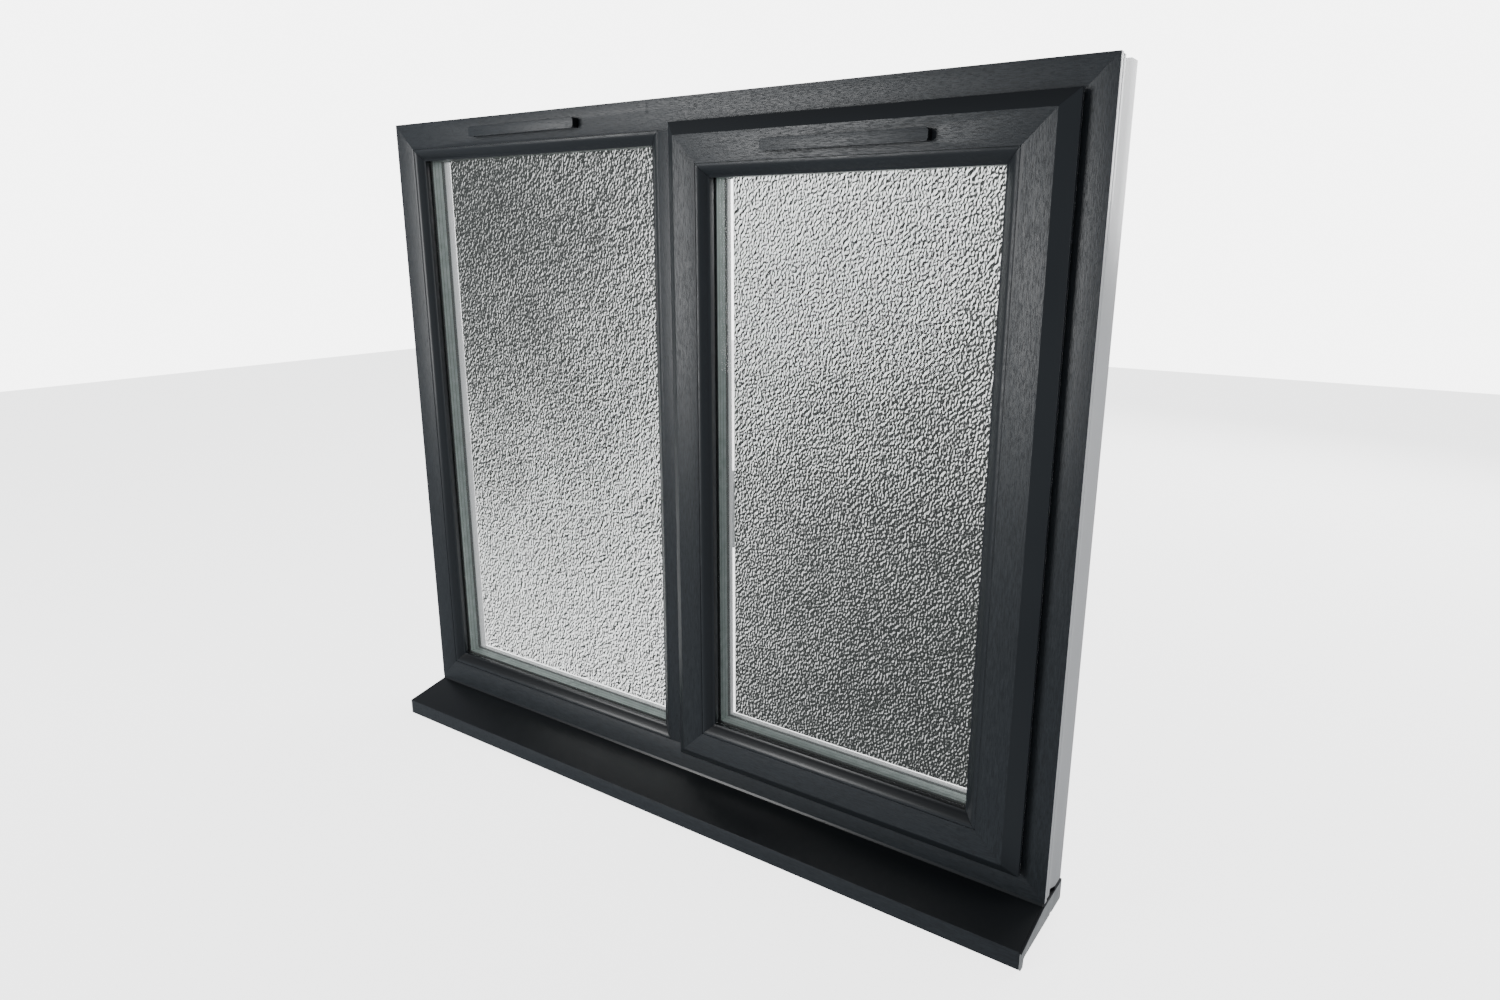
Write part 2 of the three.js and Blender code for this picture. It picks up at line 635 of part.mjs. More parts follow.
// ---- Trickle vents ------------------------------------------------------------------------------
function canopy(name, at, faceY, depth) {
  const halfX = VENT_LENGTH / 2;
  const halfZ = VENT_HEIGHT / 2;
  const wall = CANOPY_WALL;
  const out = depth - FIT_GAP;
  const shell = prism(roundedRectangle(-halfX, -halfZ, halfX, halfZ, CANOPY_CORNER), out);
  const hollow = block(wall - halfX, halfX - wall, -halfZ - 1, halfZ - wall, -1, out - wall);
  const piece = mesh(name, cut(shell, hollow), FOIL);
  piece.rotation.x = Math.PI / 2;
  piece.position.set(at.x, faceY - FIT_GAP, at.z);
  return piece;
}

// Room-side grille box with a row of openings, and a shutter with the same openings sliding inside.
function roomVent(prefix, at, faceY) {
  const half = VENT_LENGTH / 2;
  const pitch = (VENT_LENGTH - 2 * GRILLE_MARGIN) / GRILLE_BARS;
  const opening = pitch / 2 - 1;
  const travel = pitch / 2;
  const tall = AIR_SLOT_HEIGHT / 2;
  const starts = Array.from({ length: GRILLE_BARS }, (_, i) => GRILLE_MARGIN - half + i * pitch);
  const openings = (from, to, high) =>
    starts.map((start) => block(start, start + opening, from, to, -high, high));

  const y0 = faceY + FIT_GAP;
  const front = y0 + GRILLE_DEPTH;
  const face = front - GRILLE_FRONT - FIT_GAP; // front of the shutter
  const back = face - SHUTTER_DEPTH;
  const left = GRILLE_WALL - half; // inner end of the box
  const high = tall + SHUTTER_LAP;
  const end = -left - 2 * FIT_GAP - travel; // right end of the shutter at rest

  const body = block(-half, half, y0, front, -GRILLE_HEIGHT / 2, GRILLE_HEIGHT / 2);
  const room = high + 0.4;
  const inside = block(left, -left, y0 - 1, front - GRILLE_FRONT, -room, room);
  const knobZ = KNOB.height / 2;
  const slotZ = knobZ + 0.5;
  const slotFrom = end - KNOB.length - 2 * FIT_GAP;
  const knobSlot = block(slotFrom, end + travel, face, front + 1, -slotZ, slotZ);
  const grille = cut(body, inside, ...openings(face, front + 1, tall), knobSlot);

  const sheet = block(left + FIT_GAP, end, back, face, -high, high);
  const knobEnd = end - FIT_GAP;
  const knob = block(knobEnd - KNOB.length, knobEnd, back + 0.5, front + KNOB.proud, -knobZ, knobZ);
  const shutter = join(cut(sheet, ...openings(back - 1, face + 1, tall - 0.4)), knob);

  const pieces = [
    mesh(prefix + "_vent_grille", grille, WHITE_PVC),
    mesh(prefix + "_vent_shutter", shutter, WHITE_PVC),
  ];
  for (const piece of pieces) piece.position.set(at.x, 0, at.z);
  return pieces;
}

// ---- Stays: one pair of arms at the foot of the sash, its mirror image at the head ---------------
const aim = ({ inset: back, setback, length, angle }) => {
  const turn = THREE.MathUtils.degToRad(angle);
  const from = new THREE.Vector2(SASH.x1 - back, REBATE_DEPTH - setback);
  const to = new THREE.Vector2(length, 0).rotateAround(new THREE.Vector2(), turn).add(from);
  return { from, to };
};

function armGeometry({ from, to }, low, bores) {
  const along = to.clone().sub(from);
  const length = along.length();
  const half = STAY_ARM_WIDTH / 2;
  const outline = roundedRectangle(-half, -half, length + half, half, half - 0.01);
  const geometry = prism(outline, STAY_PLATE, bores(length), 6);
  return geometry.rotateZ(along.angle()).translate(from.x, from.y, low);
}

const bore = (x) => {
  const hole = new THREE.Shape();
  hole.absarc(x, 0, STAY_STUD + STAY_CLEAR, 0, 2 * Math.PI);
  return hole;
};

function stays() {
  const short = aim(STAY_SHORT);
  const long = aim(STAY_LONG);
  // Levels over the rebate floor.
  const track = FIT_GAP;
  const shortLevel = track + STAY_PLATE + STAY_SPACES[0];
  const longLevel = shortLevel + STAY_PLATE + STAY_SPACES[1];
  const bar = longLevel + STAY_PLATE + STAY_SPACES[2];
  const barTop = SASH_GAP - FIT_GAP;
  const stud = (radius, from, to, pivot) => rod("z", radius, from, to, [pivot.x, pivot.y]);

  const back = REBATE_DEPTH - 2;
  const strip = back - TRACK_STRIP;
  const toe = short.from.y - 10;
  const trackOutline = polygon([
    [long.from.x - 22, back],
    [long.from.x - 22, strip],
    [short.from.x - 30, strip],
    [short.from.x - 14, toe],
    [short.from.x + 14, toe],
    [short.from.x + 34, strip],
    [short.from.x + 34, back],
  ]);
  const trackPlate = prism(trackOutline, STAY_PLATE).translate(0, 0, track);
  const shortStud = stud(STAY_STUD, track, shortLevel + STAY_PLATE + STAY_HEAD, short.from);
  const longStud = stud(STAY_STUD, track, longLevel + STAY_PLATE + STAY_HEAD, long.from);

  const barEnd = short.to.x + STAY_BAR_END;
  const barFront = SASH_BACK - 30;
  const barStep = SASH_BACK - 8;
  const barBack = SASH_BACK - 0.5;
  const barOutline = polygon([
    [barEnd, barFront],
    [barEnd, barBack],
    [long.to.x - 24, barBack],
    [long.to.x - 40, barStep],
    [barEnd - STAY_BAR_LENGTH, barStep],
    [barEnd - STAY_BAR_LENGTH, barFront],
  ]);
  const barPlate = prism(barOutline, barTop - bar).translate(0, 0, bar);
  const armStud = stud(STAY_STUD, shortLevel - STAY_HEAD, barTop, short.to);
  const openStud = stud(STAY_STUD + 2, bar - 0.9, barTop, long.to);
  const geometry = {
    stay_track: join(trackPlate, shortStud, longStud),
    stay_short_arm: armGeometry(short, shortLevel, (length) => [bore(0), bore(length)]),
    stay_long_arm: armGeometry(long, longLevel, () => [bore(0)]),
    stay_bar: join(barPlate, armStud, openStud),
  };
  const pieces = {};
  for (const [name, shape] of Object.entries(geometry)) {
    const lower = mesh(name + "_lower", shape, STAINLESS);
    lower.position.z = VENT_LIGHT.z0;
    // The upper stay is the lower one reflected in the horizontal plane.
    const upper = mesh(name + "_upper", shape.clone(), STAINLESS);
    upper.scale.z = -1;
    upper.position.z = VENT_LIGHT.z1;
    pieces[name] = [lower, upper];
  }
  return pieces;
}

// ---- Espagnolette lock and handle ---------------------------------------------------------------
const BODY_X = SASH.x0 + BODY_INSET;
const ROD_BACK = BODY_X + GROOVE_DEPTH - FIT_GAP;
const ROD_FRONT = ROD_BACK - ROD_THICKNESS;
const CASE_X0 = BODY_X + GROOVE_DEPTH + FIT_GAP;
const CAMS = [-1, 1].map((way) => way * (ESPAG_HALF - CAM_SETBACK)); // heights from the spindle

// Pinion outline about its centre, one tooth pointing at the rack (-X).
function pinionShape() {
  const points = [];
  const step = (2 * Math.PI) / GEAR_TEETH;
  const root = GEAR_RADIUS - TOOTH - TOOTH_CLEAR;
  const tip = GEAR_RADIUS + TOOTH;
  const half = step * 0.25 - TOOTH_CLEAR / GEAR_RADIUS;
  for (let i = 0; i < GEAR_TEETH; i += 1) {
    const a = Math.PI + i * step;
    const corners = [
      [root, a - half * 1.5],
      [tip, a - half * 0.45],
      [tip, a + half * 0.45],
      [root, a + half * 1.5],
    ];
    for (const [r, turn] of corners) points.push([r * Math.cos(turn), r * Math.sin(turn)]);
  }
  return polygon(points);
}

function spindleGear() {
  const middle = GROOVE_Y;
  const gear = prism(pinionShape(), GEAR_WIDTH);
  gear.rotateX(Math.PI / 2).translate(0, middle + GEAR_WIDTH / 2, 0);
  const half = SPINDLE / 2;
  const tail = middle - GEAR_WIDTH / 2;
  const bar = block(-half, half, tail, SASH_BACK + LEVER_STANDOFF - 3, -half, half);
  const piece = mesh("spindle_gear", join(gear, bar), ZINC);
  piece.position.set(HANDLE_X, 0, HANDLE_Z);
  return piece;
}

function gearbox() {
  const { half, height, clear } = GEARBOX;
  const inner = GEAR_WIDTH / 2 + 0.6;
  const across = (depth) => [GROOVE_Y - depth, GROOVE_Y + depth];
  const high = height / 2;
  const body = block(CASE_X0, BODY_X + GEARBOX_REACH, ...across(half), -high, high);
  const gearPocket = rod("y", GEAR_RADIUS + TOOTH + clear, ...across(inner), [HANDLE_X, 0]);
  const channel = block(CASE_X0 - 1, HANDLE_X - 2, ...across(inner), -high - 1, high + 1);
  const bush = rod("y", SPINDLE_BORE - 0.6, GROOVE_Y, GROOVE_Y + half + 1, [HANDLE_X, 0]);
  const piece = mesh("espag_gearbox", cut(body, gearPocket, channel, bush), ZINC);
  piece.position.z = HANDLE_Z;
  return piece;
}

// The drive rod carries the rack and the two mushroom cams.
function espagRod() {
  const half = ESPAG_HALF - ROD_SHORTER;
  const across = (width) => [GROOVE_Y - width / 2, GROOVE_Y + width / 2];
  const strip = block(ROD_FRONT, ROD_BACK, ...across(ROD_WIDTH), -half, half);
  const pitchLine = HANDLE_X - GEAR_RADIUS;
  const pitch = (2 * Math.PI * GEAR_RADIUS) / GEAR_TEETH;
  const rootLine = pitchLine - TOOTH - TOOTH_CLEAR;
  const rack = block(ROD_FRONT, rootLine, ...across(GEAR_WIDTH), -1.5 * pitch - 2, 2.5 * pitch + 2);
  const teeth = [-1.5, -0.5, 0.5, 1.5, 2.5].map((step) => {
    const z = step * pitch;
    const outline = polygon([
      [rootLine - 0.5, z - pitch * 0.27],
      [pitchLine + TOOTH, z - pitch * 0.08],
      [pitchLine + TOOTH, z + pitch * 0.08],
      [rootLine - 0.5, z + pitch * 0.27],
    ]);
    const tooth = prism(outline, GEAR_WIDTH).rotateX(Math.PI / 2);
    return tooth.translate(0, GROOVE_Y + GEAR_WIDTH / 2, 0);
  });
  const head = VENT_LIGHT.x0 + FIT_GAP + KEEP.plate + CAM_CLEAR;
  const cams = CAMS.flatMap((z) => [
    rod("x", CAM_STUD, head, ROD_BACK - 0.4, [GROOVE_Y, z], 16),
    rod("x", CAM_RADIUS, head, head + CAM_HEAD, [GROOVE_Y, z], 20),
  ]);
  const piece = mesh("espag_rod", join(strip, rack, ...teeth, ...cams), ZINC);
  piece.position.z = HANDLE_Z;
  return piece;
}

function faceplate() {
  const x0 = BODY_X + 0.1;
  const x1 = x0 + ESPAG_PLATE;
  const wide = GROOVE_WIDTH / 2 - FIT_GAP;
  const strip = block(x0, x1, GROOVE_Y - wide, GROOVE_Y + wide, -ESPAG_HALF, ESPAG_HALF);
  const clear = CAM_STUD + 0.6;
  const end = clear + 1;
  const slots = CAMS.map((z) =>
    block(x0 - 1, x1 + 1, GROOVE_Y - clear, GROOVE_Y + clear, z - end - CAM_THROW, z + end),
  );
  const piece = mesh("espag_faceplate", cut(strip, ...slots), ZINC);
  piece.position.z = HANDLE_Z;
  return piece;
}

// A keep on the mullion: base plate and the wall that the cam draws against.
function keep(name, z) {
  const x0 = VENT_LIGHT.x0 + FIT_GAP;
  const wall = GROOVE_Y + CAM_RADIUS + KEEP.play;
  const long = KEEP.height / 2;
  const base = block(x0, x0 + KEEP.plate, GROOVE_Y - 10, wall + 6, -long, long);
  const back = block(x0, BODY_X - KEEP.clear, wall, wall + KEEP.wall, 6 - long, long - 6);
  const piece = mesh(name, join(base, back), ZINC);
  piece.position.z = HANDLE_Z + z - CAM_THROW / 2;
  return piece;
}

// The rose, and the lever and button that turn on it, all at rest over the spindle.
function handle() {
  const y0 = SASH_BACK + FIT_GAP;
  const halfW = ROSE.width / 2;
  const low = ROSE.above - ROSE.height;
  const rose = prism(roundedRectangle(-halfW, low, halfW, ROSE.above, ROSE.corner), ROSE.depth);
  rose.rotateX(Math.PI / 2).translate(0, y0 + ROSE.depth, 0);
  const bush = rod("y", SPINDLE_BORE, y0 - 1, y0 + ROSE.depth + 1, [0, 0]);

  const gripBack = SASH_BACK + LEVER_STANDOFF;
  const gripFront = gripBack + LEVER_DEPTH;
  const half = LEVER_WIDTH / 2;
  const grip = prism(roundedRectangle(-half, -LEVER_DROP, half, LEVER_TOP, LEVER_CORNER), LEVER_DEPTH);
  grip.rotateX(Math.PI / 2).translate(0, gripFront, 0);
  const neck = rod("y", NECK_RADIUS, y0 + ROSE.depth + FIT_GAP, gripBack + 1, [0, 0]);
  const socket = SPINDLE / 2 + FIT_GAP;
  const square = block(-socket, socket, y0, gripBack - 2, -socket, socket);
  const pocketFloor = gripFront - BUTTON_POCKET;
  const pocket = rod("y", BUTTON_RADIUS + BUTTON_CLEAR, pocketFloor, gripFront + 1, [0, 0]);
  const buttonFrom = pocketFloor + BUTTON_STROKE + FIT_GAP;
  const button = rod("y", BUTTON_RADIUS, buttonFrom, gripFront + BUTTON_PROUD, [0, 0]);

  const pieces = [
    mesh("handle_rose", cut(rose, bush), WHITE_PVC),
    mesh("handle_lever", cut(join(grip, neck), square, pocket), WHITE_PVC),
    mesh("handle_lock_button", button, ZINC),
  ];
  for (const piece of pieces) piece.position.set(HANDLE_X, 0, HANDLE_Z);
  return pieces;
}

// ---- Assembly -----------------------------------------------------------------------------------
function assemble() {
  const group = (...pieces) => new THREE.Group().add(...pieces);
  const stay = stays();
  const seals = weatherSeals();
  const frame = group(
    ...cill(),
    ...outerFrame(),
    mullion(),
    ...frameSteel(),
    ...glazing("fixed", FIXED, 0, REBATE_DEPTH),
    canopy("frame_vent_canopy", FRAME_VENT, 0, FRAME_CANOPY_DEPTH),
    ...roomVent("frame", FRAME_VENT, FRAME_DEPTH),
    ...CAMS.map((z, i) => keep(["keep_lower", "keep_upper"][i], z)),
    seals.onFrame,
    ...stay.stay_track,
  );
  const sash = group(
    ...sashMembers(),
    ...sashSteel(),
    ...glazing("sash", SASH_GLAZING, SASH_FRONT, SASH_UPSTAND_FRONT),
    canopy("sash_vent_canopy", SASH_VENT, SASH_FRONT, SASH_CANOPY_DEPTH),
    ...roomVent("sash", SASH_VENT, SASH_BACK),
    seals.onSash,
    ...stay.stay_bar,
    faceplate(),
    gearbox(),
    espagRod(),
    spindleGear(),
    ...handle(),
  );
  return group(frame, sash, ...stay.stay_short_arm, ...stay.stay_long_arm);
}

export default assemble();
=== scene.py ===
"""Casement window: the finishes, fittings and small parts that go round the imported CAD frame."""
import math

import bmesh
import bpy
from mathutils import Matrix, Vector


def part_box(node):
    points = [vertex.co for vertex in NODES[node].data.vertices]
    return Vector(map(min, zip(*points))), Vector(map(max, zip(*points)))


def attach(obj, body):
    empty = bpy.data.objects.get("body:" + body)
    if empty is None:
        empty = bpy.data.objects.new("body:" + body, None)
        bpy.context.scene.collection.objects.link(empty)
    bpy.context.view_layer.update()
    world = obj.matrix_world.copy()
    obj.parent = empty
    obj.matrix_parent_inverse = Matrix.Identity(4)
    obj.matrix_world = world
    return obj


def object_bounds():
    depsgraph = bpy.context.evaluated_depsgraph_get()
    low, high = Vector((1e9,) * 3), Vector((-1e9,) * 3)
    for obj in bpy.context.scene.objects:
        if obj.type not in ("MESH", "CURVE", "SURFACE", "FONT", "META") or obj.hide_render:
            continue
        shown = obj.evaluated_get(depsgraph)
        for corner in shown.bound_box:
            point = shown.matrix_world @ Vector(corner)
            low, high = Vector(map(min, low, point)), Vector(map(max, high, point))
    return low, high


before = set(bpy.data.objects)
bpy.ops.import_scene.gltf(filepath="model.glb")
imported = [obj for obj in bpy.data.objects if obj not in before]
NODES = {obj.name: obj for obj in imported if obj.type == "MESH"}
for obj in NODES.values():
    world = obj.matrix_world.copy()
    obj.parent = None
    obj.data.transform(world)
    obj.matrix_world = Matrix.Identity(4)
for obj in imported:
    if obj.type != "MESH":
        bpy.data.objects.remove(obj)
CAD_BOX = [list(corner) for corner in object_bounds()]

MM = 0.001

# ---- Shader arithmetic ---------------------------------------------------------------------------


class Value:
    """A shader socket that takes part in ordinary arithmetic; each operation adds one Math node."""

    def __init__(self, finish, socket):
        self.finish = finish
        self.socket = socket

    def math(self, operation, *values):
        return self.finish.node("ShaderNodeMath", {"operation": operation}, dict(enumerate(values)))

    def __add__(self, other):
        return self.math("ADD", self, other)

    def __sub__(self, other):
        return self.math("SUBTRACT", self, other)

    def __mul__(self, other):
        return self.math("MULTIPLY", self, other)

    def __rsub__(self, other):
        return self.math("SUBTRACT", other, self)

    def __gt__(self, other):
        return self.math("GREATER_THAN", self, other)

    def __lt__(self, other):
        return self.math("LESS_THAN", self, other)

    def __abs__(self):
        return self.math("ABSOLUTE", self)

    def either(self, other):
        return self.math("MAXIMUM", self, other)

    def lesser(self, other):
        return self.math("MINIMUM", self, other)

    __radd__ = __add__
    __rmul__ = __mul__


class Finish:
    """A material's or the world's node tree, with shorthands for the nodes that finishes share."""

    def __init__(self, name, owner=None, **constants):
        self.owner = owner or bpy.data.materials.new(name)
        self.owner.use_nodes = True
        self.tree = self.owner.node_tree
        self.shader = self.tree.nodes.get("Principled BSDF")
        for socket, value in constants.items():
            self.set(socket.replace("_", " "), value)

    def feed(self, socket, value):
        """Links a Value, or sets a constant; a colour is given without its alpha."""
        if isinstance(value, Value):
            self.tree.links.new(value.socket, socket)
        elif socket.type == "RGBA":
            socket.default_value = (*value, 1.0)
        else:
            socket.default_value = value

    def node(self, kind, settings, inputs, output=0):
        node = self.tree.nodes.new(kind)
        for key, value in settings.items():
            if key == "stops":
                ramp = node.color_ramp.elements
                while len(ramp) < len(value):
                    ramp.new(0.5)
                for element, (position, colour) in zip(ramp, value):
                    element.position = position
                    element.color = (*colour, 1.0)
            else:
                setattr(node, key, value)
        for key, value in inputs.items():
            self.feed(node.inputs[key], value)
        return Value(self, node.outputs[output])

    def set(self, socket, value):
        self.feed(self.shader.inputs[socket], value)

    def place(self):
        return self.node("ShaderNodeTexCoord", {}, {}, "Object")

    def facing(self):
        return self.node("ShaderNodeTexCoord", {}, {}, "Normal")

    def part(self, vector, axis):
        return self.node("ShaderNodeSeparateXYZ", {}, {"Vector": vector}, axis)

    def stretched(self, vector, scale, rotation=(0.0, 0.0, 0.0)):
        inputs = {"Vector": vector, "Scale": scale, "Rotation": rotation}
        return self.node("ShaderNodeMapping", {}, inputs)

    def noise(self, vector, scale, detail=3.0, roughness=0.5, distortion=0.0):
        inputs = {
            "Vector": vector,
            "Scale": scale,
            "Detail": detail,
            "Roughness": roughness,
            "Distortion": distortion,
        }
        return self.node("ShaderNodeTexNoise", {}, inputs, "Fac")

    def ramp(self, value, *stops):
        return self.node("ShaderNodeValToRGB", {"stops": stops}, {"Fac": value}, "Color")

    def blend(self, factor, first, second):
        """Mixes two colours; 6, 7 and output 2 are the Mix node's colour sockets."""
        inputs = {0: factor, 6: first, 7: second}
        return self.node("ShaderNodeMix", {"data_type": "RGBA"}, inputs, 2)

    def level(self, value, low, high, to_low=0.0, to_high=1.0):
        inputs = {"Value": value, 1: low, 2: high, 3: to_low, 4: to_high}
        return self.node("ShaderNodeMapRange", {"interpolation_type": "SMOOTHSTEP"}, inputs)

    def bump(self, height, strength, distance):
        inputs = {"Height": height, "Strength": strength, "Distance": distance}
        self.set("Normal", self.node("ShaderNodeBump", {}, inputs))


def tinted(level, tint):
    return tuple(level * channel for channel in tint)


# ---- Finishes ------------------------------------------------------------------------------------
ANTHRACITE = (0.82, 0.98, 1.12)
COLD_WHITE = (0.99, 1.0, 1.0)
CLEAR_GREEN = (0.86, 0.9, 0.88)
SOOT = (0.012, 0.014, 0.016)
BLACK = (0.0, 0.0, 0.0)
GRAIN_STRETCH = 14.0  # length of a grain streak against its width
FOIL_FACE = -0.97  # a face whose normal's Y is under this looks straight out and shows its grain
FOIL_EDGE = 2.2 * MM  # foil turned over the end cap's top
FRAME_FOIL_BACK = 1.2  # mm from the frame's face where foil gives way to white
SASH_FOIL_BACK = -5.3
FOIL_ALL_ROUND = 1000.0
PAINTED_GLOW = 2.2  # strength of the painted glow that stands in for daylight coming through the patterned glass
RIDGES = 275.0  # ridges of the rolled pattern, in noise cells to the metre
RIDGE_SLOPE = (0.0005, 0.0, -0.0011)  # step across a ridge whose two heights give its painted shade and highlight
RIDGE_TURN = math.radians(35.0)
BUTYL_LINE = 1.5 * MM
PRESSED_LINE = 3.5 * MM  # from the middle of the spacer bar


def moulded_white(finish, place):
    """Colour of the white uPVC, with a faint large-scale variation."""
    cloud = finish.noise(place, 9.0, 3.0)
    return finish.ramp(cloud, (0.3, tinted(0.70, COLD_WHITE)), (0.75, tinted(0.78, COLD_WHITE)))


def foiled(name, along, foil_until, arris=0.0):
    """uPVC bar: anthracite woodgrain foil as far back as foil_until, white behind it.

    along is the axis of the bar and of its grain, and arris the strength of the painted shade on its
    rounded edges and side faces.
    """
    finish = Finish(name, Specular_IOR_Level=0.55)
    place = finish.place()
    facing = finish.facing()
    squeeze = [1.0 if axis == along else GRAIN_STRETCH for axis in "XYZ"]
    streaks = finish.noise(finish.stretched(place, squeeze), 52.0, 5.0, 0.6, 0.5)
    pores = finish.noise(finish.stretched(place, [1.7 * part for part in squeeze]), 70.0, 2.0)
    flat = finish.part(facing, "Y") < FOIL_FACE
    grain = finish.level(streaks, 0.36, 0.66) * flat
    pore_line = finish.level(pores, 0.36, 0.46, 1.0, 0.0) * flat
    # painted shade: foil on faces that look upwards is darkened towards its darkest tone
    top = finish.level(finish.part(facing, "Z"), 0.1, 0.8)
    cloud = finish.noise(place, 4.0, 2.0)
    base = finish.ramp(cloud, (0.3, tinted(0.027, ANTHRACITE)), (0.7, tinted(0.033, ANTHRACITE)))
    veined = finish.blend(grain * 0.6, base, tinted(0.056, ANTHRACITE))
    pored = finish.blend(pore_line * 0.55, veined, tinted(0.008, ANTHRACITE))
    # painted shade: rounded edges and side faces, whose normals turn away from the front, are
    # darkened by arris
    rim = finish.level(abs(finish.part(facing, "Y")), 0.8, 0.97, arris, 0.0)
    foil = finish.blend(top.either(rim), pored, tinted(0.009, ANTHRACITE))
    white = moulded_white(finish, place)
    depth = finish.part(place, "Y")
    is_foil = depth < foil_until * MM
    finish.set("Base Color", finish.blend(is_foil, white, foil))
    gloss = 0.36 + 0.1 * grain + 0.12 * pore_line
    finish.set("Roughness", is_foil * gloss + (1 - is_foil) * 0.3)
    finish.bump((grain * 0.6 - pore_line) * is_foil, 0.3, 0.0003)
    return finish.owner


def plain_white(name):
    """Smooth white moulding."""
    finish = Finish(name, Specular_IOR_Level=0.5)
    place = finish.place()
    finish.set("Base Color", moulded_white(finish, place))
    finish.set("Roughness", 0.24 + 0.12 * finish.noise(place, 30.0, 3.0))
    finish.bump(finish.noise(place, 240.0, 2.0), 0.05, 0.0003)
    return finish.owner


def end_cap_grey(name, top_of_slope):
    """Light grey moulded end cap with the dark foil's edge along its top.

    top_of_slope is the cap's front, then the top of its nose and of its back.
    """
    finish = Finish(name)
    place = finish.place()
    mottle = finish.noise(place, 60.0, 4.0, 0.6)
    colour = finish.ramp(mottle, (0.3, (0.30, 0.31, 0.31)), (0.75, (0.46, 0.47, 0.47)))
    y = finish.part(place, "Y")
    z = finish.part(place, "Z")
    front, nose_top, back_top = top_of_slope
    slope = (back_top - nose_top) / -front
    surface = (nose_top + (y - front) * slope).lesser(back_top)
    rim = z > surface - FOIL_EDGE
    finish.set("Base Color", finish.blend(rim, colour, SOOT))
    finish.set("Roughness", 0.45 + 0.2 * mottle)
    finish.bump(mottle, 0.15, 0.0006)
    return finish.owner


def rubber_black(name):
    """Dusty matt gasket rubber."""
    finish = Finish(name)
    place = finish.place()
    dust = finish.noise(place, 90.0, 4.0, 0.65)
    colour = finish.ramp(dust, (0.35, (0.008, 0.008, 0.009)), (0.8, (0.02, 0.021, 0.022)))
    finish.set("Base Color", colour)
    finish.set("Roughness", 0.55 + 0.3 * dust)
    finish.bump(dust, 0.2, 0.0003)
    return finish.owner


def brushed(name, dark, light, roughness, scale=(14.0, 60.0, 60.0)):
    """Metal with fine drawn lines and a soft change of tone."""
    finish = Finish(name, Metallic=1.0)
    place = finish.place()
    lines = finish.noise(finish.stretched(place, scale), 18.0, 4.0, 0.6)
    cloud = finish.noise(place, 45.0, 3.0)
    tone = finish.ramp(lines * 0.6 + cloud * 0.4, (0.3, dark), (0.7, light))
    finish.set("Base Color", tone)
    finish.set("Roughness", roughness + 0.18 * cloud)
    finish.bump(lines, 0.12, 0.0002)
    return finish.owner


def clear_glass(name):
    """Clear float: see-through faces, deeper green at the cut edges."""
    finish = Finish(name, Roughness=0.02, IOR=1.5)
    place = finish.place()
    across = abs(finish.part(finish.facing(), "Y"))
    cut = finish.level(across, 0.3, 0.7, 1.0, 0.0)
    haze = finish.noise(place, 3.0, 2.0)
    finish.set("Base Color", finish.blend(cut, (0.75, 0.82, 0.79), (0.10, 0.22, 0.18)))
    finish.set("Alpha", 0.05 + 0.02 * haze + 0.85 * cut)
    return finish.owner


def patterned_glass(name, node, painted_shade_corner, reach, selvedge):
    """Obscure glass: a rolled worm-like pattern with painted shade and highlight on its ridges, and a
    painted glow.

    The pane is darkened with painted shade towards the corner that the second argument gives as
    shares of its box, and brightened by a painted gradient of light over the distances in reach.
    selvedge is the width of the sheet's plain, clear margin along the pane's left side and along its
    foot.
    """
    finish = Finish(name, Roughness=0.3, Specular_IOR_Level=0.06, Emission_Strength=PAINTED_GLOW)
    low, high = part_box(node)
    size = high - low
    place = finish.place()
    cloud = finish.noise(place, 9.0, 1.0)
    slanted = finish.stretched(place, (1.15, 1.0, 0.85), (0.0, RIDGE_TURN, 0.0))
    beside = finish.node("ShaderNodeVectorMath", {"operation": "ADD"}, {0: slanted, 1: RIDGE_SLOPE})
    ridge = finish.noise(slanted, RIDGES, 0.5, 0.5, 0.3)
    # painted shade and highlight: the difference of two offset heights brightens one side of each
    # ridge and darkens the other
    shade = ridge - finish.noise(beside, RIDGES, 0.5, 0.5, 0.3)
    corner = Vector((low.x + painted_shade_corner[0] * size.x, low.y, low.z + painted_shade_corner[1] * size.z))
    ends = {0: place, 1: corner}
    span = finish.node("ShaderNodeVectorMath", {"operation": "DISTANCE"}, ends, "Value")
    # light is a painted gradient: painted shade at the corner, brightening with the distance from it
    light = finish.level(span + 0.16 * (cloud - 0.5), reach[0], reach[1])
    tone = 0.09 + 0.46 * light + shade * 5.2
    painted_light_stipple = finish.ramp(
        tone,
        (0.02, (0.001, 0.001, 0.001)),
        (0.25, (0.02, 0.02, 0.02)),
        (0.45, (0.095, 0.096, 0.095)),
        (0.68, (0.36, 0.365, 0.36)),
        (0.95, (0.97, 0.98, 0.975)),
    )
    # painted shade: the pattern darkens further towards the corner
    painted_light_stipple = finish.blend(0.62 * (1 - light), painted_light_stipple, BLACK)
    from_left = finish.part(place, "X") - low.x
    from_foot = finish.part(place, "Z") - low.z
    plain = (from_left < selvedge[0]).either(from_foot < selvedge[1])
    finish.set("Base Color", finish.blend(plain, painted_light_stipple, CLEAR_GREEN))
    # painted glow: the pattern, with its painted shade and highlight, glows as if lit from behind
    finish.set("Emission Color", finish.blend(plain, painted_light_stipple, BLACK))
    finish.set("Alpha", 1.0 - plain * 0.92)
    finish.bump(ridge * (1 - plain), 0.6, 0.002)
    return finish.owner


